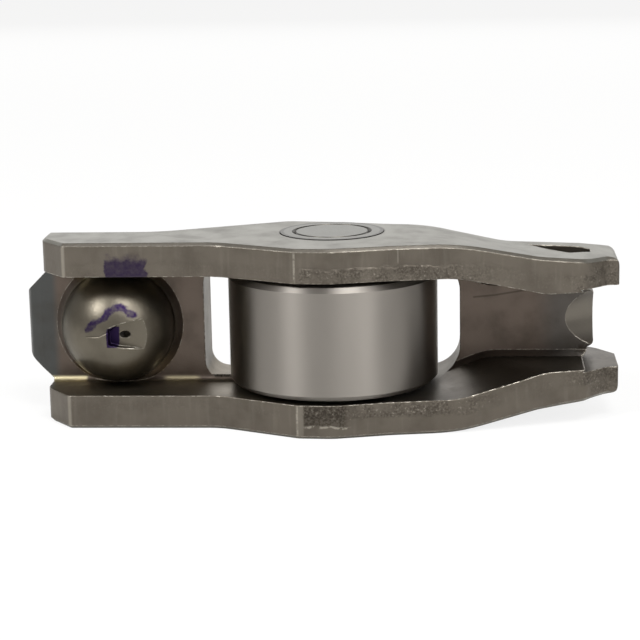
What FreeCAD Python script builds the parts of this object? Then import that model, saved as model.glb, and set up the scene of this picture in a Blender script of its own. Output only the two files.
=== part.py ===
import FreeCAD, Part
import math
import os
import re
import Sketcher
from FreeCAD import Vector

# Rocker arm of the roller finger follower kind, lying on its side.
# The arm runs along X with the valve end at +X, the cam is at -Y and the valve at +Y.
# Z is the axis of the roller, and the origin is the middle of the roller.

doc = FreeCAD.newDocument("RockerArm")

# Driving dimensions in millimetres and degrees
ROWS = [
    # Stamped sheet
    ("sheet", "2.8", "thickness of the stamped sheet"),
    ("body_half", "7.8", "middle of the arm to the outer face of each wall"),
    ("bend", "3.0", "outer radius of the bend under each wall"),
    ("crease", "0.5", "inner radius between web and walls"),
    ("web_heel", "0.25", "roller axis to the web at the pivot end"),
    ("web_pad", "1.7", "roller axis to the web at the valve end"),
    # Side view, cam-side edge of the walls, from heel to toe
    ("heel_back", "24.0", "roller axis to the rear ends of the walls"),
    ("heel_nose", "2.4", "height of the blunt rear corner"),
    ("heel_round", "1.6", "radius of that corner"),
    ("heel_run", "2.2", "length of the slope over the rear corner"),
    ("heel_height", "5.17", "height of the low straight edge beside the pivot"),
    ("rise_back", "9.2", "where the edge starts to rise"),
    ("shoulder_back", "2.5", "sheared corner behind the crown"),
    ("shoulder_height", "8.45", "height of that corner"),
    ("crown_front", "0.4", "peak of the crown"),
    ("crown_height", "8.62", "height of the crown"),
    ("fall_front", "4.9", "second sheared corner, in front of the crown"),
    ("fall_height", "7.45", "height of that corner"),
    ("neck_front", "10.6", "where the edge turns down to the toe"),
    ("neck_height", "6.52", "height there"),
    ("toe_front", "23.7", "roller axis to the front ends of the walls"),
    ("toe_fall", "2.9", "length of the rounded fall before the toe"),
    ("toe_fall_height", "3.68", "height where it starts"),
    ("toe_flat", "0.9", "length of the flat at the toe"),
    ("toe_height", "1.7", "height of the toe"),
    # Side view, valve-side edge, from heel to toe
    ("belly_root", "15.3", "where the underside starts to swell"),
    ("belly_back", "4.4", "lowest point of the belly"),
    ("belly_depth", "8.1", "depth of the belly there"),
    ("belly_front", "1.2", "front end of the belly"),
    ("belly_front_depth", "7.2", "depth of the belly there"),
    ("lip_root", "5.6", "where the guide lips start"),
    ("lip_depth", "6.0", "depth of the guide lips"),
    ("lip_end", "2.4", "length of the rounded end of the lips"),
    ("toe_nose", "0.6", "radius of the toe's outer corner"),
    ("edge_roll", "0.25", "rolled outer edge of the walls at the cam side"),
    ("toe_depth", "2.9", "depth of the toe"),
    # Plan view, taper of the walls towards the valve
    ("plan_plane", "9.0", "height of the planes that carry the taper outlines"),
    ("cam_taper_start", "11.3", "outer taper at the cam side, start"),
    ("cam_taper_end", "18.5", "outer taper at the cam side, end"),
    ("toe_start", "21.8", "start of the slim toe"),
    ("toe_pinch", "0.8", "how much the toe is slimmer"),
    ("lip_taper_start", "5.6", "outer taper at the valve side, start"),
    ("lip_taper_end", "12.4", "outer taper at the valve side, end"),
    ("lip_swell", "0.2", "extra thickness of the guide lips"),
    ("cam_swell", "0.35", "extra thickness of the toes at the cam side"),
    ("inner_cam_start", "11.2", "inner taper at the cam side, start"),
    ("inner_cam_end", "21.1", "inner taper at the cam side, end"),
    ("inner_web_start", "8.3", "inner taper at the web, start"),
    ("inner_web_end", "12.8", "inner taper at the web, end"),
    ("guide_step", "1.75", "how much narrower the channel over the pad is on each side"),
    ("toe_ease", "0.2", "how much wider the gap between the toes is on each side"),
    # Window for the roller
    ("window_back", "10.95", "roller axis to the rear edge of the window"),
    ("window_front", "10.6", "roller axis to the front edge of the window"),
    ("window_corner", "1.7", "rear corners of the window"),
    ("window_front_corner", "2.6", "front corners of the window"),
    # Pivot dome and socket
    ("pivot_back", "18.15", "roller axis to the centre of the pivot ball"),
    ("dome_clear", "0.2", "gap between the dome and each wall"),
    ("dome_flare", "0.6", "slope at the foot of the dome"),
    ("dome_wall", "1.55", "thickness of the dome over the spherical socket"),
    ("socket_mouth", "0.5", "chamfer of the socket's mouth"),
    # Oil outlet in the dome
    ("oil_depth", "1.0", "pole of the dome to the floor of the oil pocket"),
    ("oil_back", "0.15", "dome axis to the rear end of the pocket"),
    ("oil_back_half", "0.75", "half width of the pocket at the rear"),
    ("oil_front_half", "1.3", "half width of the pocket towards the roller"),
    ("oil_jet", "0.6", "bore of the oil jet"),
    ("oil_jet_front", "1.15", "dome axis to the mouth of the jet"),
    ("oil_jet_tilt", "50", "tilt of the jet towards the roller"),
    # Rear tab of the web
    ("tab_reach", "2.05", "tab of the web beyond the walls"),
    ("tab_half", "2.75", "half width of the tab at its end"),
    ("tab_round", "0.8", "rolled edge of the tab"),
    # Valve pad
    ("pad_front", "21.85", "roller axis to the end of the pad"),
    ("pad_back", "13.4", "roller axis to the rear end of the pad"),
    ("pad_crown", "22.0", "radius of the pad that the valve slides on"),
    ("pad_tear", "1.2", "size of the torn corners of the web"),
    ("coin_radius", "2.8", "radius of the coined hollow in the end of the web"),
    ("coin_reach", "2.4", "length of that hollow"),
    ("coin_slope", "35", "slope of that hollow"),
    # Lanced slots behind the toes
    ("slot_back", "7.4", "toe to the rear end of the slot"),
    ("slot_front", "2.3", "toe to the front end of the slot"),
    ("slot_rise", "2.9", "how far the slot widens towards the cam"),
    ("slot_deep", "1.7", "depth of the slot in the wall"),
    # Roller and its bearing
    ("roller_diameter", "17.5", "outer diameter of the roller"),
    ("roller_side_gap", "0.35", "gap between the roller and each wall"),
    ("roller_edge", "0.4", "chamfer of the roller's edges"),
    ("pin_diameter", "8.0", "diameter of the axle pin"),
    ("pin_flare", "0.3", "how far the staked ends of the pin spread"),
    ("pin_proud", "0.05", "how far the pin stands out of each wall"),
    ("pin_seam", "0.07", "open seam round the staked ends"),
    ("stake_diameter", "6.3", "middle of the staking groove"),
    ("stake_width", "0.35", "width of the staking groove"),
    ("stake_depth", "0.3", "depth of the staking groove"),
    ("needle_diameter", "1.5", "diameter of each needle"),
    ("needle_play", "0.015", "radial play on each side of the needles"),
    ("needle_gap", "0.05", "gap between the needles' ends and the roller's ends"),
    ("needle_count", "19", "number of needles"),
]

sheet = doc.addObject("Spreadsheet::Sheet", "Sizes")
for number, (alias, value, meaning) in enumerate(ROWS, 1):
    sheet.set("A%d" % number, alias)
    sheet.set("B%d" % number, value)
    sheet.set("C%d" % number, meaning)
    sheet.setAlias("B%d" % number, alias)
doc.recompute()
ALIASES = {row[0] for row in ROWS}
# Widths that follow from the table's own
DERIVED = {
    "guide_half": "(body_half - sheet - guide_step)",
    "socket_radius": "(body_half - sheet - dome_clear - dome_wall)",
}


def linked(formula):
    """The formula with its derived widths written out and every alias pointing at the sheet."""
    for name, meaning in DERIVED.items():
        formula = formula.replace(name, meaning)
    return re.sub(
        r"[a-z_]\w*",
        lambda word: "Sizes." + word.group(0) if word.group(0) in ALIASES else word.group(0),
        formula,
    )


def value(formula):
    """What the formula gives with the sheet's present numbers."""
    return float(sheet.evalExpression(linked(formula)))


def bind(item, prop, formula):
    item.setExpression(prop, linked(formula))


def body(name):
    part = doc.addObject("PartDesign::Body", name)
    part.Label = name
    return part


def origin_plane(part, role):
    return [item for item in part.Origin.OriginFeatures if item.Role == role][0]


def sketch_on(part, name, role, height=None, shift=None):
    """An empty sketch on one of the body's origin planes, lifted or shifted from it."""
    sketch = part.newObject("Sketcher::SketchObject", name)
    sketch.AttachmentSupport = (origin_plane(part, role), [""])
    sketch.MapMode = "FlatFace"
    if height:
        bind(sketch, "AttachmentOffset.Base.z", height)
    if shift:
        bind(sketch, "AttachmentOffset.Base.x", shift)
    return sketch


def driven(sketch, kind, name, formula, *places):
    """A dimension of a sketch that follows the sheet."""
    index = sketch.addConstraint(Sketcher.Constraint(kind, *places, value(formula)))
    sketch.renameConstraint(index, name)
    bind(sketch, "Constraints." + name, formula)


def outline(sketch, corners):
    """A closed outline of straight runs, each corner given as name, x, y and its radius."""
    count = len(corners)
    points = [Vector(value(x), value(y), 0) for _, x, y, _ in corners]
    arrive, leave, arcs = [], [], []
    for i, corner in enumerate(corners):
        here = points[i]
        if not corner[3]:
            arrive.append(here)
            leave.append(here)
            arcs.append(None)
            continue
        back = (points[i - 1] - here).normalize()
        ahead = (points[(i + 1) % count] - here).normalize()
        half = back.getAngle(ahead) / 2
        radius = value(corner[3])
        arrive.append(here + back * (radius / math.tan(half)))
        leave.append(here + ahead * (radius / math.tan(half)))
        centre = here + (back + ahead).normalize() * (radius / math.sin(half))
        left_turn = ahead.cross(back).z > 0
        first, last = (arrive[i], leave[i]) if left_turn else (leave[i], arrive[i])
        start = math.atan2(first.y - centre.y, first.x - centre.x)
        sweep = math.atan2(last.y - centre.y, last.x - centre.x) - start
        arc = Part.ArcOfCircle(
            Part.Circle(centre, Vector(0, 0, 1), radius), start, start + sweep % (2 * math.pi))
        arcs.append((arc, (1, 2) if left_turn else (2, 1)))
    lines = []
    for i in range(count):
        run = Part.LineSegment(leave[i], arrive[(i + 1) % count])
        lines.append(sketch.addGeometry(run, False))
    for i, (name, x, y, radius) in enumerate(corners):
        before, after = lines[i - 1], lines[i]
        if not radius:
            sketch.addConstraint(Sketcher.Constraint("Coincident", before, 2, after, 1))
            driven(sketch, "DistanceX", name + "_x", x, -1, 1, after, 1)
            driven(sketch, "DistanceY", name + "_y", y, -1, 1, after, 1)
            continue
        arc = sketch.addGeometry(arcs[i][0], False)
        first, last = arcs[i][1]
        sketch.addConstraint(Sketcher.Constraint("Tangent", before, 2, arc, first))
        sketch.addConstraint(Sketcher.Constraint("Tangent", arc, last, after, 1))
        driven(sketch, "Radius", name + "_r", radius, arc)
        corner = sketch.addGeometry(Part.Point(points[i]), True)
        sketch.addConstraint(Sketcher.Constraint("PointOnObject", corner, 1, before))
        sketch.addConstraint(Sketcher.Constraint("PointOnObject", corner, 1, after))
        driven(sketch, "DistanceX", name + "_x", x, -1, 1, corner, 1)
        driven(sketch, "DistanceY", name + "_y", y, -1, 1, corner, 1)


def circle(sketch, name, x, y, diameter):
    centre = Vector(value(x), value(y), 0)
    index = sketch.addGeometry(
        Part.Circle(centre, Vector(0, 0, 1), value(diameter) / 2), False)
    driven(sketch, "Diameter", name, diameter, index)
    driven(sketch, "DistanceX", name + "_x", x, -1, 1, index, 3)
    driven(sketch, "DistanceY", name + "_y", y, -1, 1, index, 3)


def recomputed(feature, grows):
    """Recompute, and stop if the feature didn't change the body's volume the way it should."""
    before = feature.BaseFeature.Shape.Volume if feature.BaseFeature else 0.0
    doc.recompute()
    change = feature.Shape.Volume - before
    if (change > 0) != grows or abs(change) < 1e-4:
        raise RuntimeError("%s changed the volume by %.4f" % (feature.Name, change))
    return feature


def edges_where(feature, test):
    """Names of the feature's edges whose middle and ends pass the test."""
    names = []
    for number, edge in enumerate(feature.Shape.Edges, 1):
        if edge.Length < 1e-6 or edge.Degenerated:
            continue
        points = edge.discretize(5)
        if all(test(point) for point in points):
            names.append("Edge%d" % number)
    return names


# Stamped arm
# The blank is the side view of the arm, as deep as the arm is wide.
arm = body("arm_body")
side = sketch_on(arm, "SideView", "XY_Plane")
outline(side, [
    ("heel_nose_", "-heel_back", "-heel_nose", "heel_round"),
    ("heel_top", "-heel_back + heel_run", "-heel_height", "0.5"),
    ("rise", "-rise_back", "-heel_height", "4"),
    ("shoulder", "-shoulder_back", "-shoulder_height", "0.4"),
    ("crown", "crown_front", "-crown_height", "4"),
    ("fall", "fall_front", "-fall_height", "0.6"),
    ("neck", "neck_front", "-neck_height", "10"),
    ("toe_drop", "toe_front - toe_fall", "-toe_fall_height", "1.4"),
    ("toe_flat_", "toe_front - toe_flat", "-toe_height", "0.8"),
    ("toe_top", "toe_front", "-toe_height", "0.3"),
    ("lip_front", "toe_front", "lip_depth", None),
    ("lip_root_", "lip_root", "lip_depth", "6"),
    ("belly_front_", "belly_front", "belly_front_depth", "bend + 3"),
    ("belly", "-belly_back", "belly_depth", "bend + 1.5"),
    ("belly_root_", "-belly_root", "web_heel + sheet", "5"),
    ("heel_under", "-heel_back", "web_heel + sheet", None),
])
blank = arm.newObject("PartDesign::Pad", "Blank")
blank.Profile = side
blank.SideType = "Symmetric"
bind(blank, "Length", "2 * body_half")
recomputed(blank, True)

# The walls draw in towards the valve, more at the lips than at the cam-side edge.
cam_taper = sketch_on(arm, "TaperAtCam", "XZ_Plane", "plan_plane")
outline(cam_taper, [
    ("root", "cam_taper_start - 7", "body_half", None),
    ("start", "cam_taper_start", "body_half", "24"),
    ("end", "cam_taper_end", "guide_half + sheet + cam_swell", "12"),
    ("toe", "toe_start", "guide_half + sheet + cam_swell - toe_pinch", "6"),
    ("front", "toe_front + 3", "guide_half + sheet + cam_swell - toe_pinch", None),
    ("outer_front", "toe_front + 3", "body_half + 2", None),
    ("outer_root", "cam_taper_start - 7", "body_half + 2", None),
])
lip_taper = sketch_on(arm, "TaperAtLips", "XZ_Plane", "-plan_plane")
outline(lip_taper, [
    ("root", "lip_taper_start - 7", "body_half", None),
    ("start", "lip_taper_start", "body_half", "16"),
    ("end", "lip_taper_end", "guide_half + sheet + lip_swell", "10"),
    ("toe", "toe_start - 1", "guide_half + sheet + lip_swell", "6"),
    ("front", "toe_front + 3", "guide_half + sheet + lip_swell - toe_pinch", None),
    ("outer_front", "toe_front + 3", "body_half + 2", None),
    ("outer_root", "lip_taper_start - 7", "body_half + 2", None),
])
taper = arm.newObject("PartDesign::SubtractiveLoft", "Taper")
taper.Profile = lip_taper
taper.Sections = [cam_taper]
taper.Ruled = True
recomputed(taper, False)
taper_pair = arm.newObject("PartDesign::Mirrored", "TaperPair")
taper_pair.Originals = [taper]
taper_pair.MirrorPlane = (origin_plane(arm, "XY_Plane"), [""])
arm.Tip = taper_pair
doc.recompute()


# The bends under the walls follow the underside from heel to toe.
bends = arm.newObject("PartDesign::Fillet", "Bends")
bends.Base = (taper_pair, edges_where(taper_pair, lambda p: (
    abs(p.z) > value("guide_half + 1") and p.y > value("toe_depth") - 0.01)))
bind(bends, "Radius", "bend")
recomputed(bends, False)

# The die leaves a rolled outer edge at the cam side.
edge_roll = arm.newObject("PartDesign::Chamfer", "EdgeRoll")
edge_roll.Base = (bends, edges_where(bends, lambda p: (
    abs(p.z) > value("guide_half + 1") and p.y < value("-toe_height + 0.01"))))
bind(edge_roll, "Size", "edge_roll")
recomputed(edge_roll, False)

# The lips fall away to the toes, whose outer corners are round.
lip_fall = sketch_on(arm, "LipFall", "XY_Plane")
outline(lip_fall, [
    ("start", "toe_front - lip_end - 2", "lip_depth + 0.3", None),
    ("bow", "toe_front - lip_end + 0.6", "lip_depth - 0.3", "2.5"),
    ("toe", "toe_front + 0.3", "toe_depth - 0.3", None),
    ("out_toe", "toe_front + 2", "toe_depth - 0.3", None),
    ("out_front", "toe_front + 2", "lip_depth + 2", None),
    ("out_back", "toe_front - lip_end - 2", "lip_depth + 2", None),
])
lip_cut = arm.newObject("PartDesign::Pocket", "LipCut")
lip_cut.Profile = lip_fall
lip_cut.Type = "ThroughAll"
lip_cut.SideType = "Symmetric"
recomputed(lip_cut, False)
nose_plan = sketch_on(arm, "NosePlan", "XZ_Plane")
TOE_OUTER = "(guide_half + sheet + cam_swell - toe_pinch)"
for side_name, sign in (("high", ""), ("low", "-")):
    outline(nose_plan, [
        ("back_" + side_name, "toe_front - 3 * toe_nose", sign + "(%s + 0.35)" % TOE_OUTER, None),
        ("nose_" + side_name, "toe_front - 0.1", sign + "(%s + 0.05)" % TOE_OUTER, "toe_nose"),
        ("end_" + side_name, "toe_front + 0.2", sign + "(%s - 2)" % TOE_OUTER, None),
        ("out_" + side_name, "toe_front + 3", sign + "(%s - 2)" % TOE_OUTER, None),
        ("far_" + side_name, "toe_front + 3", sign + "(body_half + 2)", None),
        ("root_" + side_name, "toe_front - 3 * toe_nose", sign + "(body_half + 2)", None),
    ])
nose_cut = arm.newObject("PartDesign::Pocket", "NoseCut")
nose_cut.Profile = nose_plan
nose_cut.Type = "ThroughAll"
nose_cut.SideType = "Symmetric"
recomputed(nose_cut, False)

# The channel between the walls is straight from the heel to the roller.
heel_floor = sketch_on(arm, "HeelFloor", "XZ_Plane", "-web_heel")
outline(heel_floor, [
    ("back_low", "-heel_back - 5", "-body_half + sheet", None),
    ("front_low", "2", "-body_half + sheet", None),
    ("front_high", "2", "body_half - sheet", None),
    ("back_high", "-heel_back - 5", "body_half - sheet", None),
])
heel_channel = arm.newObject("PartDesign::Pocket", "HeelChannel")
heel_channel.Profile = heel_floor
heel_channel.Type = "ThroughAll"
heel_channel.Reversed = True
recomputed(heel_channel, False)
heel_creases = arm.newObject("PartDesign::Fillet", "HeelCreases")
heel_creases.Base = (heel_channel, edges_where(heel_channel, lambda p: (
    abs(p.y - value("web_heel")) < 0.001
    and abs(abs(p.z) - value("body_half - sheet")) < 0.001)))
bind(heel_creases, "Radius", "crease")
recomputed(heel_creases, True)

# In front of the roller it narrows to the width of the valve guide, with a flat in each crease.
levels = []
for name, height, inset, start, end, round_end in (
        ("PadFloor", "-web_pad", "crease", "inner_web_start", "inner_web_end", "5"),
        ("PadCrease", "crease - web_pad", "0", "inner_web_start", "inner_web_end", "5"),
        ("PadMouth", "plan_plane", "0", "inner_cam_start", "inner_cam_end", "14")):
    level = sketch_on(arm, name, "XZ_Plane", height)
    wide = "(body_half - sheet - %s)" % inset
    slim = "(guide_half - %s)" % inset
    outline(level, [
        ("back_low", "-2", "-" + wide, None),
        ("start_low", start, "-" + wide, round_end),
        ("end_low", end, "-" + slim, round_end),
        ("front_low", "toe_front + 3", "-" + slim, None),
        ("front_high", "toe_front + 3", slim, None),
        ("end_high", end, slim, round_end),
        ("start_high", start, wide, round_end),
        ("back_high", "-2", wide, None),
    ])
    levels.append(level)
pad_channel = arm.newObject("PartDesign::SubtractiveLoft", "PadChannel")
pad_channel.Profile = levels[0]
pad_channel.Sections = levels[1:]
pad_channel.Ruled = True
recomputed(pad_channel, False)

# The roller's window goes through the web, as wide as the channel.
window_plan = sketch_on(arm, "WindowPlan", "XZ_Plane", "-web_heel")
outline(window_plan, [
    ("back_low", "-window_back", "-body_half + sheet", "window_corner"),
    ("front_low", "window_front", "-body_half + sheet", "window_front_corner"),
    ("front_high", "window_front", "body_half - sheet", "window_front_corner"),
    ("back_high", "-window_back", "body_half - sheet", "window_corner"),
])
window = arm.newObject("PartDesign::Pocket", "Window")
window.Profile = window_plan
window.Type = "ThroughAll"
recomputed(window, False)

# The web ends short of the toes, torn off at both corners.
web_end_plan = sketch_on(arm, "WebEndPlan", "XZ_Plane")
outline(web_end_plan, [
    ("end_low", "pad_front", "-guide_half + 0.85 * pad_tear", "0.3"),
    ("rag_low", "pad_front - 0.45 * pad_tear", "-guide_half + 0.6 * pad_tear", None),
    ("bay_low", "pad_front - 0.55 * pad_tear", "-guide_half + 0.25 * pad_tear", None),
    ("tear_low", "pad_front - pad_tear", "-(guide_half + toe_ease)", None),
    ("front_low", "toe_front + 3", "-(guide_half + toe_ease)", None),
    ("front_high", "toe_front + 3", "(guide_half + toe_ease)", None),
    ("tear_high", "pad_front - 1.2 * pad_tear", "(guide_half + toe_ease)", None),
    ("bay_high", "pad_front - 0.7 * pad_tear", "guide_half - 0.3 * pad_tear", None),
    ("rag_high", "pad_front - 0.35 * pad_tear", "guide_half - 0.7 * pad_tear", None),
    ("end_high", "pad_front", "guide_half - 0.9 * pad_tear", "0.3"),
])
web_end = arm.newObject("PartDesign::Pocket", "WebEnd")
web_end.Profile = web_end_plan
web_end.Type = "ThroughAll"
web_end.SideType = "Symmetric"
recomputed(web_end, False)

# Valve pad: a crowned face at the bottom of the guide, between the two lips.
guide_view = sketch_on(arm, "GuideView", "XY_Plane")
pad_middle = value("(pad_back + pad_front) / 2")
crown_y = value("web_pad + sheet - pad_crown")
start_x = value("pad_back")
end_x = value("toe_front + 3")
radius = value("pad_crown")
crown = guide_view.addGeometry(Part.ArcOfCircle(
    Part.Circle(Vector(pad_middle, crown_y, 0), Vector(0, 0, 1), radius),
    math.acos((end_x - pad_middle) / radius),
    math.acos((start_x - pad_middle) / radius)), False)
driven(guide_view, "Radius", "crown", "pad_crown", crown)
driven(guide_view, "DistanceX", "crown_x", "(pad_back + pad_front) / 2", -1, 1, crown, 3)
driven(guide_view, "DistanceY", "crown_y", "web_pad + sheet - pad_crown", -1, 1, crown, 3)
driven(guide_view, "DistanceX", "crown_end", "toe_front + 3", -1, 1, crown, 1)
driven(guide_view, "DistanceX", "crown_start", "pad_back", -1, 1, crown, 2)
right = guide_view.Geometry[crown].StartPoint
left = guide_view.Geometry[crown].EndPoint
floor_y = value("lip_depth + 3")
rear_x = value("pad_back - 1.5")
ring = [left, Vector(rear_x, floor_y, 0), Vector(end_x, floor_y, 0), right]
runs = []
for first, last in zip(ring, ring[1:]):
    runs.append(guide_view.addGeometry(Part.LineSegment(first, last), False))
guide_view.addConstraint(Sketcher.Constraint("Coincident", crown, 2, runs[0], 1))
guide_view.addConstraint(Sketcher.Constraint("Coincident", runs[0], 2, runs[1], 1))
guide_view.addConstraint(Sketcher.Constraint("Coincident", runs[1], 2, runs[2], 1))
guide_view.addConstraint(Sketcher.Constraint("Coincident", runs[2], 2, crown, 1))
driven(guide_view, "DistanceX", "rear_x", "pad_back - 1.5", -1, 1, runs[0], 2)
driven(guide_view, "DistanceY", "rear_y", "lip_depth + 3", -1, 1, runs[0], 2)
driven(guide_view, "DistanceX", "front_x", "toe_front + 3", -1, 1, runs[1], 2)
driven(guide_view, "DistanceY", "front_y", "lip_depth + 3", -1, 1, runs[1], 2)
guide = arm.newObject("PartDesign::Pocket", "Guide")
guide.Profile = guide_view
guide.SideType = "Symmetric"
bind(guide, "Length", "2 * guide_half")
recomputed(guide, False)

# The end of the web is coined down to a shallow hollow.
coin = arm.newObject("PartDesign::SubtractiveCylinder", "CoinedEnd")
coin.AttachmentSupport = (origin_plane(arm, "XZ_Plane"), [""])
coin.MapMode = "FlatFace"
coin.AttachmentOffset = FreeCAD.Placement(Vector(), FreeCAD.Rotation(Vector(0, 1, 0), 1))
bind(coin, "AttachmentOffset.Rotation.Angle", "90 + coin_slope")
bind(coin, "AttachmentOffset.Base.x",
     "pad_front - coin_reach + coin_radius * (sin(coin_slope * 1deg) - cos(coin_slope * 1deg))")
bind(coin, "AttachmentOffset.Base.z",
     "coin_radius * (sin(coin_slope * 1deg) + cos(coin_slope * 1deg)) - web_pad")
bind(coin, "Radius", "coin_radius")
bind(coin, "Height", "coin_reach + 2 * coin_radius")
recomputed(coin, False)

# Tab of the web between the rear ends of the walls, with rolled edges
tab_plan = sketch_on(arm, "TabPlan", "XZ_Plane", "-web_heel")
outline(tab_plan, [
    ("root_low", "-heel_back + 1", "-body_half + bend", None),
    ("root_high", "-heel_back + 1", "body_half - bend", None),
    ("side_high", "-heel_back", "body_half - bend", None),
    ("end_high", "-heel_back - tab_reach", "tab_half", "0.4"),
    ("end_low", "-heel_back - tab_reach", "-tab_half", "0.4"),
    ("side_low", "-heel_back", "-body_half + bend", None),
])
tab = arm.newObject("PartDesign::Pad", "Tab")
tab.Profile = tab_plan
tab.Reversed = True
bind(tab, "Length", "sheet")
recomputed(tab, True)
tab_view = sketch_on(arm, "TabView", "XY_Plane")
TAB_END = "-heel_back - tab_reach"
outline(tab_view, [
    ("web_a", TAB_END + " + 1.6 * tab_round", "web_heel - 0.02", None),
    ("roll", TAB_END + " + 0.4 * tab_round", "web_heel + 0.25 * tab_round", "tab_round"),
    ("end_a", TAB_END + " - 0.05", "web_heel + 1.25 * tab_round", None),
    ("out_a", TAB_END + " - 1", "web_heel + 1.25 * tab_round", None),
    ("out_b", TAB_END + " - 1", "web_heel - 1", None),
    ("out_c", TAB_END + " + 1.6 * tab_round", "web_heel - 1", None),
])
tab_roll = arm.newObject("PartDesign::Pocket", "TabRoll")
tab_roll.Profile = tab_view
tab_roll.SideType = "Symmetric"
bind(tab_roll, "Length", "2 * (body_half - bend)")
recomputed(tab_roll, False)

# Dome over the pivot ball, with a flared foot on the web
dome_view = sketch_on(arm, "DomeView", "XY_Plane", None, "-pivot_back")
dome_radius = value("body_half - sheet - dome_clear")
ball_y = value("web_heel - dome_flare")
web_y = value("web_heel")
foot_x = value("body_half - sheet - dome_clear + dome_flare")
root_y = value("web_heel + sheet / 2")
shell = dome_view.addGeometry(Part.ArcOfCircle(
    Part.Circle(Vector(0, ball_y, 0), Vector(0, 0, 1), dome_radius),
    1.5 * math.pi, 2 * math.pi), False)
ring = [Vector(dome_radius, ball_y, 0), Vector(foot_x, web_y, 0), Vector(foot_x, root_y, 0),
        Vector(0, root_y, 0), Vector(0, ball_y - dome_radius, 0)]
runs = []
for first, last in zip(ring, ring[1:]):
    runs.append(dome_view.addGeometry(Part.LineSegment(first, last), False))
dome_view.addConstraint(Sketcher.Constraint("Coincident", shell, 2, runs[0], 1))
for first, last in zip(runs, runs[1:]):
    dome_view.addConstraint(Sketcher.Constraint("Coincident", first, 2, last, 1))
dome_view.addConstraint(Sketcher.Constraint("Coincident", runs[3], 2, shell, 1))
dome_view.addConstraint(Sketcher.Constraint("PointOnObject", shell, 3, -2))
dome_view.addConstraint(Sketcher.Constraint("PointOnObject", shell, 1, -2))
dome_view.addConstraint(Sketcher.Constraint("PointOnObject", runs[2], 2, -2))
dome_view.addConstraint(Sketcher.Constraint("Vertical", runs[1]))
dome_view.addConstraint(Sketcher.Constraint("Horizontal", runs[2]))
foot = "body_half - sheet - dome_clear + dome_flare"
driven(dome_view, "Radius", "dome", "body_half - sheet - dome_clear", shell)
driven(dome_view, "DistanceY", "ball", "web_heel - dome_flare", -1, 1, shell, 3)
driven(dome_view, "DistanceY", "side", "web_heel - dome_flare", -1, 1, shell, 2)
driven(dome_view, "DistanceX", "foot_x", foot, -1, 1, runs[0], 2)
driven(dome_view, "DistanceY", "foot_y", "web_heel", -1, 1, runs[0], 2)
driven(dome_view, "DistanceY", "root", "web_heel + sheet / 2", -1, 1, runs[1], 2)
dome = arm.newObject("PartDesign::Revolution", "Dome")
dome.Profile = dome_view
dome.ReferenceAxis = (dome_view, ["V_Axis"])
recomputed(dome, True)

# Socket for the pivot ball, open to the underside
socket_view = sketch_on(arm, "SocketView", "XY_Plane", None, "-pivot_back")
socket_radius = value("socket_radius")
mouth_x = value("socket_radius + socket_mouth")
under_y = value("web_heel + sheet")
lip_y = value("web_heel + sheet - socket_mouth")
out_y = value("belly_depth")
cup = socket_view.addGeometry(Part.ArcOfCircle(
    Part.Circle(Vector(0, ball_y, 0), Vector(0, 0, 1), socket_radius),
    1.5 * math.pi, 2 * math.pi), False)
ring = [Vector(socket_radius, ball_y, 0), Vector(socket_radius, lip_y, 0),
        Vector(mouth_x, under_y, 0), Vector(mouth_x, out_y, 0), Vector(0, out_y, 0),
        Vector(0, ball_y - socket_radius, 0)]
runs = []
for first, last in zip(ring, ring[1:]):
    runs.append(socket_view.addGeometry(Part.LineSegment(first, last), False))
socket_view.addConstraint(Sketcher.Constraint("Coincident", cup, 2, runs[0], 1))
for first, last in zip(runs, runs[1:]):
    socket_view.addConstraint(Sketcher.Constraint("Coincident", first, 2, last, 1))
socket_view.addConstraint(Sketcher.Constraint("Coincident", runs[4], 2, cup, 1))
socket_view.addConstraint(Sketcher.Constraint("PointOnObject", cup, 3, -2))
socket_view.addConstraint(Sketcher.Constraint("PointOnObject", cup, 1, -2))
socket_view.addConstraint(Sketcher.Constraint("PointOnObject", runs[3], 2, -2))
socket_view.addConstraint(Sketcher.Constraint("Vertical", runs[0]))
socket_view.addConstraint(Sketcher.Constraint("Vertical", runs[2]))
socket_view.addConstraint(Sketcher.Constraint("Horizontal", runs[3]))
driven(socket_view, "Radius", "socket", "socket_radius", cup)
driven(socket_view, "DistanceY", "ball", "web_heel - dome_flare", -1, 1, cup, 3)
driven(socket_view, "DistanceY", "side", "web_heel - dome_flare", -1, 1, cup, 2)
driven(socket_view, "DistanceY", "lip", "web_heel + sheet - socket_mouth", -1, 1, runs[0], 2)
driven(socket_view, "DistanceY", "under", "web_heel + sheet", -1, 1, runs[1], 2)
driven(socket_view, "DistanceX", "mouth", "socket_radius + socket_mouth", -1, 1, runs[1], 2)
driven(socket_view, "DistanceY", "out", "belly_depth", -1, 1, runs[2], 2)
socket = arm.newObject("PartDesign::Groove", "Socket")
socket.Profile = socket_view
socket.ReferenceAxis = (socket_view, ["V_Axis"])
recomputed(socket, False)

# Oil outlet: a flat pocket in the dome that widens towards the roller, and the jet in its floor
POCKET_FLOOR = "body_half - sheet - dome_clear - web_heel + dome_flare - oil_depth"
oil_plan = sketch_on(arm, "OilPlan", "XZ_Plane", POCKET_FLOOR)
OIL_BACK = "-pivot_back - oil_back"
OIL_FRONT = "-pivot_back + body_half - sheet"
outline(oil_plan, [
    ("back_low", OIL_BACK, "-oil_back_half", "0.2"),
    ("knee_low", OIL_BACK + " + 1", "-0.75 * oil_front_half", None),
    ("mid_low", OIL_BACK + " + 2.8", "-oil_front_half + 0.1", None),
    ("front_low", OIL_FRONT, "-oil_front_half", None),
    ("front_high", OIL_FRONT, "oil_front_half", None),
    ("mid_high", OIL_BACK + " + 2.8", "oil_front_half", None),
    ("knee_high", OIL_BACK + " + 1", "0.8 * oil_front_half", None),
    ("back_high", OIL_BACK, "oil_back_half - 0.1", "0.2"),
])
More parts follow.
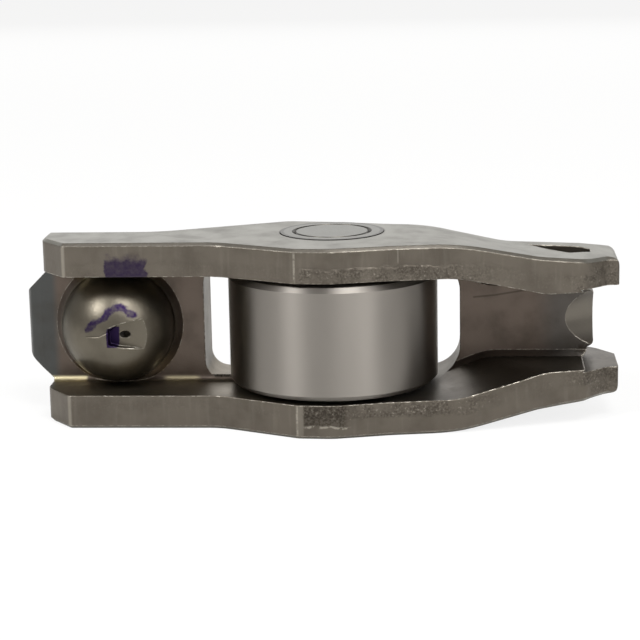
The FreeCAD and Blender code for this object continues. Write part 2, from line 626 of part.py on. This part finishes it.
oil_pocket = arm.newObject("PartDesign::Pocket", "OilPocket")
oil_pocket.Profile = oil_plan
oil_pocket.Type = "ThroughAll"
oil_pocket.Reversed = True
recomputed(oil_pocket, False)
jet = arm.newObject("PartDesign::SubtractiveCylinder", "OilJet")
jet.AttachmentSupport = (origin_plane(arm, "XZ_Plane"), [""])
jet.MapMode = "FlatFace"
jet.AttachmentOffset = FreeCAD.Placement(Vector(), FreeCAD.Rotation(Vector(0, 1, 0), 1))
bind(jet, "AttachmentOffset.Rotation.Angle", "oil_jet_tilt")
bind(jet, "AttachmentOffset.Base.x",
     "-pivot_back + oil_jet_front - 1.5 * sin(oil_jet_tilt * 1deg)")
bind(jet, "AttachmentOffset.Base.z", POCKET_FLOOR + " - 1.5 * cos(oil_jet_tilt * 1deg)")
bind(jet, "Radius", "oil_jet / 2")
bind(jet, "Height", "socket_radius")
recomputed(jet, False)


# Bores for the axle pin, countersunk for the staked ends
bore_view = sketch_on(arm, "BoreView", "XY_Plane")
circle(bore_view, "bore", "0", "0", "pin_diameter")
bore = arm.newObject("PartDesign::Pocket", "PinBore")
bore.Profile = bore_view
bore.Type = "ThroughAll"
bore.SideType = "Symmetric"
recomputed(bore, False)
countersink = arm.newObject("PartDesign::Chamfer", "PinCountersink")
countersink.Base = (bore, edges_where(bore, lambda p: (
    abs(abs(p.z) - value("body_half")) < 0.001
    and abs(math.hypot(p.x, p.y) - value("pin_diameter / 2")) < 0.001)))
bind(countersink, "Size", "pin_flare + pin_seam")
recomputed(countersink, False)

# Lanced slot in each wall, between the lip and the strip that is pressed inwards
slot_view = sketch_on(arm, "SlotView", "XY_Plane", "body_half + 1")
outline(slot_view, [
    ("tail", "toe_front - slot_back", "web_pad", None),
    ("strip_a", "toe_front - slot_back + 1.5", "web_pad - 0.6 * slot_rise", "2"),
    ("strip_b", "toe_front - slot_front - 1.8", "web_pad - slot_rise", "0.5"),
    ("strip_c", "toe_front - slot_front - 0.7", "web_pad - 0.76 * slot_rise", None),
    ("pit_a", "toe_front - slot_front", "web_pad - 0.6 * slot_rise", None),
    ("pit_b", "toe_front - slot_front", "web_pad - 0.2 * slot_rise", None),
    ("lip_b", "toe_front - slot_front - 0.8", "web_pad", "0.4"),
    ("lip_a", "toe_front - slot_back + 2.2", "web_pad + 0.15", "3"),
])
slot = arm.newObject("PartDesign::Pocket", "Slot")
slot.Profile = slot_view
bind(slot, "Length", "body_half + 1 - (guide_half + sheet + lip_swell - slot_deep)")
recomputed(slot, False)
slot_pair = arm.newObject("PartDesign::Mirrored", "SlotPair")
slot_pair.Originals = [slot]
slot_pair.MirrorPlane = (origin_plane(arm, "XY_Plane"), [""])
arm.Tip = slot_pair
doc.recompute()

# Axle pin, turned: its staked ends fill the countersinks and carry a ring groove
pin = body("axle_pin")
pin_half = sketch_on(pin, "PinHalf", "XZ_Plane")
outline(pin_half, [
    ("end_a", "0", "-body_half - pin_proud", None),
    ("groove_a", "(stake_diameter - stake_width) / 2", "-body_half - pin_proud", None),
    ("groove_b", "stake_diameter / 2", "-body_half - pin_proud + stake_depth", None),
    ("groove_c", "(stake_diameter + stake_width) / 2", "-body_half - pin_proud", None),
    ("rim_a", "pin_diameter / 2 + pin_flare", "-body_half - pin_proud", None),
    ("flare_a", "pin_diameter / 2 + pin_flare", "-body_half", None),
    ("shank_a", "pin_diameter / 2", "-body_half + pin_flare", None),
    ("shank_b", "pin_diameter / 2", "body_half - pin_flare", None),
    ("flare_b", "pin_diameter / 2 + pin_flare", "body_half", None),
    ("rim_b", "pin_diameter / 2 + pin_flare", "body_half + pin_proud", None),
    ("groove_d", "(stake_diameter + stake_width) / 2", "body_half + pin_proud", None),
    ("groove_e", "stake_diameter / 2", "body_half + pin_proud - stake_depth", None),
    ("groove_f", "(stake_diameter - stake_width) / 2", "body_half + pin_proud", None),
    ("end_b", "0", "body_half + pin_proud", None),
])
pin_turned = pin.newObject("PartDesign::Revolution", "PinTurned")
pin_turned.Profile = pin_half
pin_turned.ReferenceAxis = (pin_half, ["V_Axis"])
recomputed(pin_turned, True)

# Roller: a hardened ring, ground outside and in the bore
RACE = "pin_diameter / 2 + needle_diameter + 2 * needle_play"
ROLLER_HALF = "body_half - sheet - roller_side_gap"
roller = body("roller")
roller_half = sketch_on(roller, "RollerHalf", "XZ_Plane")
outline(roller_half, [
    ("race_low", RACE, "-(%s) + 0.3" % ROLLER_HALF, None),
    ("bore_low", RACE + " + 0.3", "-(%s)" % ROLLER_HALF, None),
    ("face_low", "roller_diameter / 2 - roller_edge", "-(%s)" % ROLLER_HALF, None),
    ("tread_low", "roller_diameter / 2", "-(%s) + roller_edge" % ROLLER_HALF, None),
    ("tread_high", "roller_diameter / 2", ROLLER_HALF + " - roller_edge", None),
    ("face_high", "roller_diameter / 2 - roller_edge", ROLLER_HALF, None),
    ("bore_high", RACE + " + 0.3", ROLLER_HALF, None),
    ("race_high", RACE, ROLLER_HALF + " - 0.3", None),
])
roller_turned = roller.newObject("PartDesign::Revolution", "RollerTurned")
roller_turned.Profile = roller_half
roller_turned.ReferenceAxis = (roller_half, ["V_Axis"])
recomputed(roller_turned, True)

# Full ring of needles between pin and roller
PITCH = "(pin_diameter / 2 + needle_play + needle_diameter / 2)"
needles = []
for k in range(int(value("needle_count"))):
    needle = doc.addObject("Part::Cylinder", "Needle%02d" % (k + 1))
    needle.Label = "needle_%02d" % (k + 1)
    bind(needle, "Radius", "needle_diameter / 2")
    bind(needle, "Height", "2 * (%s - needle_gap)" % ROLLER_HALF)
    bind(needle, "Placement.Base.x", "%s * cos(%d * 360deg / needle_count)" % (PITCH, k))
    bind(needle, "Placement.Base.y", "%s * sin(%d * 360deg / needle_count)" % (PITCH, k))
    bind(needle, "Placement.Base.z", "-(%s - needle_gap)" % ROLLER_HALF)
    needles.append(needle)

doc.recompute()
for item in doc.Objects:
    if "Invalid" in item.State or "Error" in item.State:
        raise RuntimeError("%s did not recompute: %s" % (item.Name, item.State))

# Each node to its own file
os.makedirs("parts", exist_ok=True)
for node in [arm, pin, roller] + needles:
    shape = node.Shape
    if shape.isNull() or not shape.isValid():
        raise RuntimeError("%s has no valid shape" % node.Label)
    shape.exportStep("parts/%s.step" % node.Label)
    box = shape.BoundBox
    if not node.Label.startswith("needle_") or node.Label == "needle_01":
        print("%s: %d solids, %.2f mm3, x %.2f..%.2f y %.2f..%.2f z %.2f..%.2f" % (
            node.Label, len(shape.Solids), shape.Volume,
            box.XMin, box.XMax, box.YMin, box.YMax, box.ZMin, box.ZMax))
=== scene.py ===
"""Rocker arm of the roller finger follower kind, lying on its side on a pale table."""
import math
import bpy
import numpy as np
from mathutils import Matrix, Vector


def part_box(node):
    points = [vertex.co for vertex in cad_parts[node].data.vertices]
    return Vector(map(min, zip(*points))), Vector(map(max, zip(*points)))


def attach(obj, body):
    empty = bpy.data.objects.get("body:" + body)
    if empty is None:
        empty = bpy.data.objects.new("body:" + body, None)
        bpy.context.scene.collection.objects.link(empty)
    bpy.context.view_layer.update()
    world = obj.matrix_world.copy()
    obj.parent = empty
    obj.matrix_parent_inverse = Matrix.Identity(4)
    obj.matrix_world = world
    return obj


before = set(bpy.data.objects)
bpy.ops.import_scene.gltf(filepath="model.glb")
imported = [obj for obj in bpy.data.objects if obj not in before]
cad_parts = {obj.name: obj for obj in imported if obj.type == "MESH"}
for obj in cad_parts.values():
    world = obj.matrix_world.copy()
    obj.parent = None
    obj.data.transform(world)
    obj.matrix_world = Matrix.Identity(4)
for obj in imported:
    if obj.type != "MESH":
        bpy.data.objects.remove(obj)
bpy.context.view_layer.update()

# --- Stamped arm -----------------------------------------------------------------------
# One piece of steel sheet, blanked and bent to a channel, then hardened and tumbled.
# The press leaves a burnished zone and a rough torn zone on the edges that face the cam.
MM = 0.001

# Where the arm's own features lie, in millimetres
SHEET = 2.8
CHANNEL_HALF = 5.0
CHANNEL_TAPER = 1.65
TAPER_START, TAPER_END = 11.2, 21.1
DOME_AT = -18.15
BEND_AT = 4.78
TAIL_CORNER, DIE_CORNER, FRONT_CORNER = -21.75, -2.55, 5.7
PIN_RADIUS = 4.0
WORN_RADIUS = 0.15

# Ink daub on the upper band: its middle and half width along x, and its top in z
DAUB_AT, DAUB_HALF, DAUB_TOP = -16.65, 1.80, 6.95
# Inked corner of the dome's pocket: its middle (x, z) and its half sizes
POCKET_AT, POCKET_HALF = (-17.95, -0.15), (0.50, 0.85)

# Marks, and the painted shade along the web's fold, drawn as straight strokes: (x, z) on the dome
# and the web, (x, y) on the wall
DOME_SCRATCH = [(-20.1, -0.10), (-19.1, -0.02), (-18.3, 0.33), (-17.7, 0.8)]
DOME_INK = [(-20.0, 0.5), (-19.3, 1.1), (-18.5, 1.6), (-18.2, 2.1), (-17.3, 2.3), (-16.2, 1.7)]
WEB_FOLD_SHADE = [(11.8, 1.80), (13.5, 1.95), (16.3, 2.40)]
WALL_DENT = [(-14.4, -1.3), (-13.3, -2.2), (-12.4, -2.85), (-11.5, -3.2), (-10.7, -3.1),
             (-10.1, -2.5), (-9.7, -1.3), (-9.4, 0.3), (-8.9, 1.9)]

OUTER_GREY_TOP_LIT = (0.270, 0.262, 0.232)
EDGE_GREY = (0.154, 0.135, 0.112)
DOME_GREY = (0.150, 0.134, 0.106)
WEB_BROWN = (0.130, 0.104, 0.087)
TAB_BLUE = (0.080, 0.082, 0.080)
FACET_GREY = (0.172, 0.156, 0.133)
HEEL_CHANNEL_LIT = (0.21, 0.18, 0.135)
CHANNEL_SHADE = (0.110, 0.094, 0.074)
BRIGHT_EDGE = (0.62, 0.58, 0.50)
TORN_DARK = (0.050, 0.042, 0.034)
INK = (0.020, 0.010, 0.048)
BEND_GLINT_YELLOW = (0.75, 0.66, 0.42)


class Wire:
    """An output of a shader node; arithmetic on it adds Math nodes."""

    def __init__(self, finish, socket):
        self.finish = finish
        self.socket = socket

    def math(self, operation, *values):
        return self.finish.node(
            "ShaderNodeMath", {"operation": operation}, dict(enumerate(values)))

    def __add__(self, other):
        return self.math("ADD", self, other)

    def __sub__(self, other):
        return self.math("SUBTRACT", self, other)

    def __rsub__(self, other):
        return self.math("SUBTRACT", other, self)

    def __mul__(self, other):
        return self.math("MULTIPLY", self, other)

    def __truediv__(self, other):
        return self.math("DIVIDE", self, other)

    def __pow__(self, other):
        return self.math("POWER", self, other)

    def __abs__(self):
        return self.math("ABSOLUTE", self)

    __radd__ = __add__
    __rmul__ = __mul__

    def least(self, other):
        return self.math("MINIMUM", self, other)

    def most(self, other):
        return self.math("MAXIMUM", self, other)

    def rise(self, low, high):
        """0 at low and beyond it, 1 at high and beyond it; low may be the larger of the two."""
        if low > high:
            return 1 - self.rise(high, low)
        return self.finish.node(
            "ShaderNodeMapRange", {"interpolation_type": "SMOOTHSTEP"},
            {"Value": self, "From Min": low, "From Max": high})


class Finish:
    """The shader nodes of a material or a world."""

    def __init__(self, owner):
        owner.use_nodes = True
        self.owner = owner
        self.tree = owner.node_tree
        self.tree.nodes.clear()

    def node(self, kind, settings=None, inputs=None, out=0):
        """One node: its settings first, then the values or links of its sockets."""
        node = self.tree.nodes.new(kind)
        for name, setting in (settings or {}).items():
            setattr(node, name, setting)
        for socket, value in (inputs or {}).items():
            if isinstance(value, Wire):
                self.tree.links.new(value.socket, node.inputs[socket])
            else:
                node.inputs[socket].default_value = value
        return Wire(self, node.outputs[out])

    def end(self, kind, shader):
        """The output node, which has no outputs itself and so gives no wire."""
        node = self.tree.nodes.new(kind)
        self.tree.links.new(shader.socket, node.inputs["Surface"])

    def place(self, scale=1.0, stretch=(1, 1, 1)):
        """The point on the piece in millimetres, stretched."""
        spot = self.node("ShaderNodeTexCoord", out="Object")
        return self.node("ShaderNodeVectorMath", {"operation": "MULTIPLY"},
                         {0: spot, 1: [scale * s / MM for s in stretch]})

    def axes(self, vector):
        """The three parts of a vector."""
        split = self.node("ShaderNodeSeparateXYZ", None, {0: vector})
        return [Wire(self, output) for output in split.socket.node.outputs]

    def noise(self, size, detail=2.0, stretch=(1, 1, 1), seed=0.0):
        """Cloudy noise from 0 to 1 with grains of the given size in millimetres."""
        shifted = self.node("ShaderNodeVectorMath", {"operation": "ADD"},
                            {0: self.place(1 / size, stretch), 1: (seed, seed * 0.7, -seed)})
        return self.node("ShaderNodeTexNoise", None, {"Vector": shifted, "Scale": 1.0,
                                                      "Detail": detail, "Roughness": 0.55})

    def blend(self, mask, first, second):
        """first where the mask is 0, second where it is 1."""
        first, second = (
            colour if isinstance(colour, Wire) else (*colour, 1.0) for colour in (first, second))
        return self.node("ShaderNodeMix", {"data_type": "RGBA"},
                         {0: mask, 6: first, 7: second}, out=2)

    def coats(self, colour, coats):
        """The colour under a row of (mask, colour) coats, each over the ones before it."""
        for mask, coat in coats:
            colour = self.blend(mask, colour, coat)
        return colour

    def bump(self, height, depth, normal=None):
        """A normal from a height of the given depth in millimetres."""
        inputs = {"Height": height, "Distance": depth * MM, "Strength": 1.0}
        if normal:
            inputs["Normal"] = normal
        return self.node("ShaderNodeBump", None, inputs)

    def stroke(self, u, v, points):
        """Distance in millimetres from the straight strokes that join the points."""
        nearest = None
        for (u0, v0), (u1, v1) in zip(points, points[1:]):
            du, dv = u1 - u0, v1 - v0
            along = ((u - u0) * du + (v - v0) * dv) / (du * du + dv * dv)
            along = along.most(0).least(1)
            away = span(u - u0 - along * du, v - v0 - along * dv)
            nearest = away if nearest is None else nearest.least(away)
        return nearest


def span(a, b):
    """Length of the vector (a, b)."""
    return (a * a + b * b) ** 0.5


def sheared_bands(steel, x, z, inner, band, chips):
    """The torn mask, and the coats of the bands that were sheared on the cam side.

    Burnished streaks lie near the outer face and torn grain near the channel, from depth 0 at
    the channel to 1 at the outer face.
    """
    depth = (abs(z) - inner) / SHEET
    streaks = steel.noise(0.5, 2.0, stretch=(1, 1, 0.10), seed=9.0)
    ragged = depth + 0.30 * (steel.noise(1.3, 3.0, seed=7.0) - 0.5)
    speckle = steel.noise(0.17, 3.0, seed=11.0)
    patchy = steel.noise(1.1, 2.0, seed=15.0).rise(0.30, 0.62)
    belly_and_toes = (x.rise(-2.4, -1.9) * x.rise(16.0, 8.0)).most(x.rise(18.5, 21.5))
    torn = ragged.rise(0.48, 0.34) * (0.15 + 0.85 * belly_and_toes)
    toe = x.rise(20.6, 22.2) * depth.rise(0.95, 0.6)
    torn = torn.most(0.9 * toe) * band

    # On the lower band the tear bites deeper in front of the die's corner, with a bright rim
    lower = band * z.rise(-1.0, -2.0)
    bite = lower * x.rise(-2.1, -1.9) * x.rise(1.7, 1.1) * ragged.rise(0.66, 0.58)
    rim = lower * x.rise(-2.1, -1.9) * x.rise(1.9, 1.4) * abs(ragged - 0.66).rise(0.05, 0.01)
    # A lighter strip beside the die's corner on the lower band is a painted highlight
    corner_strip_highlight = lower * x.rise(-2.65, -2.55) * x.rise(-1.95, -2.10)

    # The corners of the die show as upright lines across both bands, painted as highlights
    corners = abs(x - DIE_CORNER).rise(0.14, 0.02) * (0.3 + 0.7 * chips.rise(0.40, 0.55))
    corners = corners.most(0.5 * abs(x - FRONT_CORNER).rise(0.08, 0.02) * z.rise(6.3, 6.6))
    corners = corners.most(0.8 * abs(x - TAIL_CORNER).rise(0.24, 0.05)) * band
    return torn, [
        (band * streaks.rise(0.50, 0.75) * 0.04, BRIGHT_EDGE),
        (torn * patchy * speckle.rise(0.42, 0.62) * 0.65, TORN_DARK),
        (torn * speckle.rise(0.38, 0.28) * 0.32, BRIGHT_EDGE),
        (bite * (0.35 + 0.5 * speckle.rise(0.40, 0.60)), TORN_DARK),
        (rim * chips.rise(0.40, 0.55) * 0.4, BRIGHT_EDGE),
        (corner_strip_highlight * 0.12, BRIGHT_EDGE),
        (corners * 0.35, BRIGHT_EDGE),
    ]


def ink_marks(steel, x, z, band, dome_front, chips):
    """Purple ink: a daub on the upper band, a stroke on the dome and a corner of its pocket."""
    smear = steel.noise(0.8, 3.0, seed=21.0) - 0.5
    daub = (DAUB_HALF - abs(x - DAUB_AT) + 1.1 * smear).rise(0.0, 0.2)
    daub = daub * (DAUB_TOP - z + 1.6 * smear).rise(0.0, 0.8) * band * z.rise(1.0, 2.0)
    daub = daub * (0.70 + 0.5 * (chips - 0.3)).least(1)
    arc = (0.38 - steel.stroke(x, z, DOME_INK) + 0.7 * smear).rise(0.0, 0.20) * dome_front
    arc = arc * (0.55 + 1.2 * (chips - 0.25))
    corner = (POCKET_HALF[0] - abs(x - POCKET_AT[0]) + 0.4 * smear).rise(0.0, 0.1)
    corner = corner * (POCKET_HALF[1] - abs(z - POCKET_AT[1])).rise(0.0, 0.1) * dome_front
    return daub.most(arc).most(corner).least(1)


def stamped_steel():
    """Tumbled grey steel, torn on sheared edges, with painted shade in the channel, painted
    highlights in the bends, and outer faces and worn edges partly brightened as painted light.
    """
    steel = Finish(bpy.data.materials.new("stamped_steel"))
    x, y, z = steel.axes(steel.place())
    nx, ny, nz = steel.axes(steel.node("ShaderNodeTexCoord", out="Normal"))
    soft = steel.node("ShaderNodeBevel", {"samples": 6}, {"Radius": WORN_RADIUS * MM})
    flat = steel.node("ShaderNodeNewGeometry", out="Normal")
    turned = steel.node("ShaderNodeVectorMath", {"operation": "DOT_PRODUCT"},
                        {0: soft, 1: flat}, out="Value")
    wide = steel.noise(2.6, 3.0)
    chips = steel.noise(0.34, 3.0, seed=5.0)
    fine = steel.noise(0.22, 2.0)
    grain = steel.noise(0.09, 1.0, seed=3.0)
    # Rounded edges and creases made brighter: partly tumbling wear, partly painted highlight
    wear_and_highlight = turned.rise(0.985, 0.86) * (0.10 + 0.90 * chips.rise(0.45, 0.58))

    # Where the faces lie: sheared bands, outer faces, channel, dome, web and tab
    front = ny.rise(-0.45, -0.75)
    inner = CHANNEL_HALF - CHANNEL_TAPER * x.rise(TAPER_START, TAPER_END)
    band = front * y.rise(-1.2, -1.7) * (abs(z) - inner).rise(-0.25, -0.05)
    outside = (z * nz).rise(1.5, 3.5)
    # The channel's inner faces, which carry painted shade
    shaded_inside = (z * nz).rise(-1.0, -2.5) * abs(z).rise(6.0, 5.6)
    dome = span(x - DOME_AT, z).rise(5.05, 4.75) * y.rise(0.6, 0.2)
    dome_front = dome * y.rise(-3.75, -3.95)
    web = front * y.rise(-1.2, -0.4) * abs(z).rise(5.4, 5.1)
    tab = x.rise(-23.2, -24.0) * abs(z).rise(5.2, 4.8)

    # Smaller places: the web's end facet and the painted shade along its fold, the rolled outer
    # edges, the painted highlight in the bend at the tail and the heel, the ripped web end and
    # the seam round the pin
    facet = x.rise(18.6, 19.2) * nx.rise(0.35, 0.55) * abs(z).rise(3.0, 2.6)
    fold_shade = steel.stroke(x, z, WEB_FOLD_SHADE).rise(0.12, 0.03) * web
    rolled = ny.rise(-0.50, -0.62) * ny.rise(-0.84, -0.76) * abs(nz).rise(0.55, 0.65) * outside
    tail_and_heel = x.rise(-21.0, -21.3).most(
        0.5 * x.rise(-14.8, -14.0) * x.rise(-11.2, -12.0))
    # A painted highlight along the bend's crease at the tail and the heel
    bend_highlight = abs(abs(z) - BEND_AT).rise(0.30, 0.10) * abs(y + 0.05).rise(0.40, 0.22)
    bend_highlight = bend_highlight * tail_and_heel
    ripped = x.rise(20.0, 20.8) * abs(z).rise(2.0, 2.7) * abs(z).rise(3.6, 3.3) * y.rise(0.9, 1.2)
    ripped = ripped * chips.rise(0.40, 0.52)
    past_pin = span(x, y) - PIN_RADIUS
    seam = past_pin.rise(-0.05, 0.05) * past_pin.rise(0.5, 0.35) * abs(nz).rise(0.2, 0.4)

    torn, sheared_coats = sheared_bands(steel, x, z, inner, band, chips)
    ink = ink_marks(steel, x, z, band, dome_front, chips)
    # Outer faces are lighter than the sheared bands: partly their tumbled finish, partly painted
    # light from above
    colour = steel.coats(steel.blend(outside, EDGE_GREY, OUTER_GREY_TOP_LIT), [
        # Painted shade on the channel's inner faces, painted lighter towards the heel where light
        # gets in
        (shaded_inside, steel.blend(x.rise(-8.0, 2.0), HEEL_CHANNEL_LIT, CHANNEL_SHADE)),
        (web, WEB_BROWN),
        (web * x.rise(16.5, 19.0) * 0.6, TAB_BLUE),
        (dome, DOME_GREY),
        (tab, TAB_BLUE),
        (wide.rise(0.40, 0.75) * 0.30, TORN_DARK),
        *sheared_coats,
        # Painted shade along the web's fold
        (fold_shade * 0.65, TORN_DARK),
        (bend_highlight * 0.85, BEND_GLINT_YELLOW),
        (facet, FACET_GREY),
        (rolled * (0.65 + 0.7 * (fine - 0.5)), EDGE_GREY),
        (ripped * 0.9, TORN_DARK),
        (wear_and_highlight * 0.8, BRIGHT_EDGE),
        (seam * 0.8, TORN_DARK),
        (ink * 0.96, INK),
    ])

    rough = 0.40 + 0.2 * (wide - 0.5) + 0.18 * torn - 0.10 * wear_and_highlight + 0.1 * ink
    rough = rough - 0.02 * dome - 0.05 * tab
    normal = steel.bump(fine + 0.5 * grain, 0.010, soft)
    normal = steel.bump(torn * steel.noise(0.45, 3.0, seed=13.0), 0.14, normal)
    scratch = steel.stroke(x, z, DOME_SCRATCH).rise(0.10, 0.0) * dome_front
    dent = steel.stroke(x, y, WALL_DENT).rise(0.45, 0.0) * z.rise(6.0, 7.0)
    normal = steel.bump(1 - (scratch + 0.3 * dent), 0.05, normal)
    steel.end("ShaderNodeOutputMaterial", steel.node("ShaderNodeBsdfPrincipled", None, {
        "Base Color": colour, "Metallic": 1.0, "Roughness": rough, "Normal": normal}))
    return steel.owner


def dress(name, material):
    """Gives the CAD node this material alone."""
    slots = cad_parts[name].data.materials
    slots.clear()
    slots.append(material)


dress("arm_body", stamped_steel())

# --- Painted shade in the jet ----------------------------------------------------------
# A black disc paints the shade inside the dome's narrow jet, so that it looks dark and no light
# comes through.
# Only its surface is made: a small disc square to the jet, a little below its mouth.
JET_TILT = math.radians(50)
JET_MOUTH = np.array((-17.0, -4.15, 0.0)) * MM
SHADE_DISC_BELOW = 0.4 * MM
SHADE_DISC_RADIUS = 0.32 * MM
SHADE_DISC_SPOKES = 24
JET_SHADE_BLACK = (0.008, 0.006, 0.005)


def disc(centre, axis, radius, spokes):
    """centre + radius (cos a u + sin a v), a = 2 pi j / spokes, u and v square to the axis."""
    u = np.cross(axis, (0, 0, 1))
    v = np.cross(axis, u)
    turn = np.linspace(0, 2 * math.pi, spokes, endpoint=False)
    return centre + radius * (np.outer(np.cos(turn), u) + np.outer(np.sin(turn), v))


def flat_piece(name, points, material):
    """A piece with a single face through the points, at the origin."""
    mesh = bpy.data.meshes.new(name)
    mesh.from_pydata(points.tolist(), [], [list(range(len(points)))])
    mesh.materials.append(material)
    piece = bpy.data.objects.new(name, mesh)
    bpy.context.scene.collection.objects.link(piece)
    return piece


# Black finish for the painted shade in the jet
jet_shade_finish = Finish(bpy.data.materials.new("jet_shade_finish"))
jet_shade_finish.end("ShaderNodeOutputMaterial", jet_shade_finish.node("ShaderNodeBsdfPrincipled", None, {
    "Base Color": (*JET_SHADE_BLACK, 1.0), "Roughness": 0.45}))
jet_axis = np.array((math.sin(JET_TILT), -math.cos(JET_TILT), 0.0))
shade_disc_points = disc(JET_MOUTH - SHADE_DISC_BELOW * jet_axis, jet_axis, SHADE_DISC_RADIUS, SHADE_DISC_SPOKES)
jet_shade_disc = flat_piece("jet_shade_disc", shade_disc_points, jet_shade_finish.owner)
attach(jet_shade_disc, "arm")

# --- Axle pin --------------------------------------------------------------------------
# A hardened pin pressed through both walls, its ends spread into the countersinks.
# A dark staking groove and the dark seam round the pin show on each end.
PIN_GREY = (0.170, 0.167, 0.148)
GROOVE_DARK = (0.05, 0.045, 0.038)


def pin_steel():
    """Turned steel, smooth, with faint rings."""
    steel = Finish(bpy.data.materials.new("pin_steel"))
    x, y, _ = steel.axes(steel.place())
    radius = span(x, y)
    rings = steel.node("ShaderNodeTexNoise", {"noise_dimensions": "1D"},
                       {"W": radius * 9.0, "Scale": 1.0, "Detail": 2.0})
    fine = steel.noise(0.15, 2.0)
    groove = radius.rise(2.90, 3.00) * radius.rise(3.40, 3.30)
    seam = (radius - PIN_RADIUS).rise(-0.05, 0.1)
    steel.end("ShaderNodeOutputMaterial", steel.node("ShaderNodeBsdfPrincipled", None, {
        "Base Color": steel.blend(groove.most(seam) * 0.85, PIN_GREY, GROOVE_DARK),
        "Metallic": 1.0, "Roughness": 0.36 + 0.12 * (fine - 0.5),
        "Normal": steel.bump(rings + 0.6 * fine, 0.006)}))
    return steel.owner


dress("axle_pin", pin_steel())

# --- Roller ----------------------------------------------------------------------------
# A hardened ring, ground outside, in the bore and on both faces. The grinding lines run
# round it, so they spread a lamp's reflection into an upright band.
ROLLER_GREY = (0.285, 0.264, 0.240)


def ground_steel():
    """Ground steel with fine lines round the roller."""
    steel = Finish(bpy.data.materials.new("ground_steel"))
    z = steel.axes(steel.place())[2]
    lines = steel.node("ShaderNodeTexNoise", {"noise_dimensions": "1D"},
                       {"W": z * 14.0, "Scale": 1.0, "Detail": 3.0})
    cloud = steel.noise(3.0, 2.0)
    steel.end("ShaderNodeOutputMaterial", steel.node("ShaderNodeBsdfPrincipled", None, {
        "Base Color": (*ROLLER_GREY, 1.0), "Metallic": 1.0,
        "Roughness": 0.42 + 0.06 * (cloud - 0.5),
        "Anisotropic": 0.85, "Anisotropic Rotation": 0.25,
        "Normal": steel.bump(lines, 0.002)}))
    return steel.owner


dress("roller", ground_steel())

# --- Needles ---------------------------------------------------------------------------
# Bright bearing needles in a full ring between the pin and the roller. The walls and the
# roller hide them from every side, so one plain steel does for all of them.
NEEDLE_GREY = (0.45, 0.43, 0.40)
needle_steel = Finish(bpy.data.materials.new("needle_steel"))
needle_steel.end("ShaderNodeOutputMaterial", needle_steel.node("ShaderNodeBsdfPrincipled", None, {
    "Base Color": (*NEEDLE_GREY, 1.0), "Metallic": 1.0,
    "Roughness": 0.16 + 0.05 * needle_steel.noise(0.5, 2.0)}))
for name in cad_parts:
    if name.startswith("needle_"):
        dress(name, needle_steel.owner)

# --- Table and light -------------------------------------------------------------------
# A white table under the part, one wide soft box behind it and three small ones in front.
# The camera sees table and world almost white, and the rest of the light stays soft.
TABLE_HALF = 4.0
TABLE_PAPER = (0.80, 0.80, 0.79)
ROOM_WHITE = (1.0, 0.985, 0.96)

paper = Finish(bpy.data.materials.new("table_paper"))
seen = paper.node("ShaderNodeLightPath", out="Is Camera Ray")
matt = paper.node("ShaderNodeBsdfDiffuse", None, {"Color": (*TABLE_PAPER, 1.0)})
white = paper.node("ShaderNodeEmission", None, {"Color": (1, 1, 1, 1), "Strength": 1.04})
paper.end("ShaderNodeOutputMaterial",
          paper.node("ShaderNodeMixShader", None, {0: seen * 0.8, 1: matt, 2: white}))
low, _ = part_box("arm_body")
corners = np.array([(-1, -1, 0), (1, -1, 0), (1, 1, 0), (-1, 1, 0)], float) * TABLE_HALF
corners[:, 2] = low.z
table = flat_piece("table", corners, paper.owner)

world = bpy.data.worlds.new("studio")
bpy.context.scene.world = world
sky = Finish(world)
seen = sky.node("ShaderNodeLightPath", out="Is Camera Ray")
dim = sky.node("ShaderNodeBackground", None, {"Color": (*ROOM_WHITE, 1.0), "Strength": 0.42})
bright = sky.node("ShaderNodeBackground", None, {"Color": (1, 1, 1, 1), "Strength": 1.0})
sky.end("ShaderNodeOutputWorld",
        sky.node("ShaderNodeMixShader", None, {0: seen, 1: dim, 2: bright}))


def soft_box(name, spot, size, watts):
    """A rectangular lamp at spot that points at the origin."""
    lamp = bpy.data.lights.new(name, "AREA")
    lamp.shape = "RECTANGLE"
    lamp.size, lamp.size_y = size
    lamp.energy = watts
    holder = bpy.data.objects.new(name, lamp)
    bpy.context.scene.collection.objects.link(holder)
    holder.location = spot
    holder.rotation_euler = (-Vector(spot)).to_track_quat("-Z", "Y").to_euler()


soft_box("back_box", (0, 0.42, 0.17), (0.90, 0.24), 0.70)
soft_box("left_box", (-0.235, -0.215, 0.27), (0.11, 0.13), 0.80)
soft_box("top_box", (0.10, -0.21, 0.34), (0.15, 0.12), 0.85)
soft_box("right_box", (0.24, -0.25, 0.22), (0.11, 0.14), 0.40)

# --- Camera ----------------------------------------------------------------------------
# The photograph's viewpoint: a long lens a little above the part, almost square to it.
# Its height, yaw, roll and aim bring the part's corners over those of the photograph.
DISTANCE = 170 * MM
LENS = 113.74
SENSOR = 36
RAISED = math.radians(12.3)
YAW = math.radians(4.05)
ROLL = math.radians(-1.09)
AIM_SIDE = -1.13 * MM
AIM_UP = 0.25 * MM
aim = Vector((AIM_SIDE * math.cos(YAW), AIM_SIDE * math.sin(YAW), AIM_UP))
backward = Vector((math.cos(RAISED) * math.sin(YAW), -math.cos(RAISED) * math.cos(YAW),
                   math.sin(RAISED)))
side = Vector((math.cos(YAW), math.sin(YAW), 0))
up = backward.cross(side)
right = side * math.cos(ROLL) + up * math.sin(ROLL)
upright = up * math.cos(ROLL) - side * math.sin(ROLL)
camera_data = bpy.data.cameras.new("camera")
camera_data.lens = LENS
camera_data.sensor_width = SENSOR
camera_data.sensor_fit = "HORIZONTAL"
camera_data.clip_start = 0.01
camera_data.clip_end = 20
camera = bpy.data.objects.new("camera", camera_data)
bpy.context.scene.collection.objects.link(camera)
turn = Matrix((right, upright, backward)).transposed().to_4x4()
camera.matrix_world = Matrix.Translation(aim + backward * DISTANCE) @ turn
bpy.context.scene.camera = camera
bpy.context.scene.view_settings.view_transform = "Standard"
